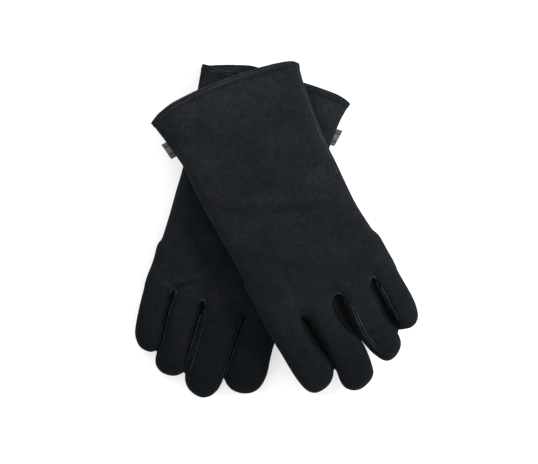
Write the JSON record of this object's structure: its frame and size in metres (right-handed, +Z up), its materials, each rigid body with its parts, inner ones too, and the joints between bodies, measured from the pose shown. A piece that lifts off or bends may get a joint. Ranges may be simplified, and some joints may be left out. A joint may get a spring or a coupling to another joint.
{
  "type": "pair of long heat resistant gloves",
  "caption": "Long leather gauntlet gloves for hot cookware, lying flat and crossed, with wide cuffs, lined hands and bending fingers and thumbs.",
  "frame": {"origin": "centre of the pair's bounding box, on the table plane", "axes": "+Z up from the table, +Y towards the cuffs along the pair's length, +X to the right seen from above with the cuffs at the top"},
  "size_m": [0.2984, 0.3534, 0.0715],
  "materials": {
    "suede_leather": "dark charcoal suede",
    "lining_cloth": "napped cotton lining",
    "thread": "twisted heavy thread",
    "woven_label": "woven tape"
  },
  "bodies": {
    "right_hand": {"right_back_panel": "suede_leather", "right_palm_panel": "suede_leather", "right_hand_lining": "lining_cloth", "right_cuff_lining": "lining_cloth", "right_cuff_hem": "suede_leather", "right_hem_stitches": "thread", "right_side_label": "woven_label", "right_index_middle_fourchette": "suede_leather", "right_middle_ring_fourchette": "suede_leather", "right_ring_little_fourchette": "suede_leather"},
    "right_index": {"right_index_back": "suede_leather", "right_index_palm": "suede_leather", "right_index_fourchette": "suede_leather", "right_index_lining": "lining_cloth"},
    "right_middle": {"right_middle_back": "suede_leather", "right_middle_palm": "suede_leather", "right_middle_fourchette": "suede_leather", "right_middle_lining": "lining_cloth"},
    "right_ring": {"right_ring_back": "suede_leather", "right_ring_palm": "suede_leather", "right_ring_fourchette": "suede_leather", "right_ring_lining": "lining_cloth"},
    "right_little": {"right_little_back": "suede_leather", "right_little_palm": "suede_leather", "right_little_fourchette": "suede_leather", "right_little_lining": "lining_cloth"},
    "right_thumb": {"right_thumb_outer": "suede_leather", "right_thumb_inner": "suede_leather", "right_thumb_lining": "lining_cloth"},
    "left_hand": {"left_back_panel": "suede_leather", "left_palm_panel": "suede_leather", "left_hand_lining": "lining_cloth", "left_cuff_lining": "lining_cloth", "left_cuff_hem": "suede_leather", "left_hem_stitches": "thread", "left_side_label": "woven_label", "left_index_middle_fourchette": "suede_leather", "left_middle_ring_fourchette": "suede_leather", "left_ring_little_fourchette": "suede_leather"},
    "left_index": {"left_index_back": "suede_leather", "left_index_palm": "suede_leather", "left_index_fourchette": "suede_leather", "left_index_lining": "lining_cloth"},
    "left_middle": {"left_middle_back": "suede_leather", "left_middle_palm": "suede_leather", "left_middle_fourchette": "suede_leather", "left_middle_lining": "lining_cloth"},
    "left_ring": {"left_ring_back": "suede_leather", "left_ring_palm": "suede_leather", "left_ring_fourchette": "suede_leather", "left_ring_lining": "lining_cloth"},
    "left_little": {"left_little_back": "suede_leather", "left_little_palm": "suede_leather", "left_little_fourchette": "suede_leather", "left_little_lining": "lining_cloth"},
    "left_thumb": {"left_thumb_outer": "suede_leather", "left_thumb_inner": "suede_leather", "left_thumb_lining": "lining_cloth"}
  },
  "joints": [
    {"name": "left_glove_lift", "type": "slide", "parent": "right_hand", "child": "left_hand", "axis": [0, 0, 1], "range_m": [0, 0.12]},
    {"name": "right_index_bend", "type": "hinge", "parent": "right_hand", "child": "right_index", "pos_m": [-0.02138, -0.12136, 0.0205], "axis": [0.9581, -0.2866, 0], "range_deg": [-10, 80], "stiffness_Nm_per_rad": 0.15},
    {"name": "right_middle_bend", "type": "hinge", "parent": "right_hand", "child": "right_middle", "pos_m": [-0.06107, -0.10888, 0.0205], "axis": [0.9591, -0.2832, 0], "range_deg": [-10, 80], "stiffness_Nm_per_rad": 0.15},
    {"name": "right_ring_bend", "type": "hinge", "parent": "right_hand", "child": "right_ring", "pos_m": [-0.0989, -0.09642, 0.0205], "axis": [0.9638, -0.2664, 0], "range_deg": [-10, 80], "stiffness_Nm_per_rad": 0.15},
    {"name": "right_little_bend", "type": "hinge", "parent": "right_hand", "child": "right_little", "pos_m": [-0.12984, -0.09037, 0.0205], "axis": [0.9688, -0.2479, 0], "range_deg": [-10, 80], "stiffness_Nm_per_rad": 0.15},
    {"name": "right_thumb_swing", "type": "hinge", "parent": "right_hand", "child": "right_thumb", "pos_m": [0.01157, 0.00977, 0.0044], "axis": [0, 0, 1], "range_deg": [0, 90]},
    {"name": "left_index_bend", "type": "hinge", "parent": "left_hand", "child": "left_index", "pos_m": [0.0221, -0.11979, 0.0495], "axis": [0.8703, 0.4926, 0], "range_deg": [-10, 80], "stiffness_Nm_per_rad": 0.15},
    {"name": "left_middle_bend", "type": "hinge", "parent": "left_hand", "child": "left_middle", "pos_m": [0.05814, -0.10561, 0.0495], "axis": [0.8829, 0.4696, 0], "range_deg": [-10, 80], "stiffness_Nm_per_rad": 0.15},
    {"name": "left_ring_bend", "type": "hinge", "parent": "left_hand", "child": "left_ring", "pos_m": [0.09646, -0.08695, 0.0495], "axis": [0.8737, 0.4865, 0], "range_deg": [-10, 80], "stiffness_Nm_per_rad": 0.15},
    {"name": "left_little_bend", "type": "hinge", "parent": "left_hand", "child": "left_little", "pos_m": [0.12676, -0.07239, 0.0495], "axis": [0.9084, 0.418, 0], "range_deg": [-10, 80], "stiffness_Nm_per_rad": 0.15},
    {"name": "left_thumb_swing", "type": "hinge", "parent": "left_hand", "child": "left_thumb", "pos_m": [-0.03576, 0.00004, 0.0405], "axis": [0, 0, -1], "range_deg": [0, 90]}
  ]
}
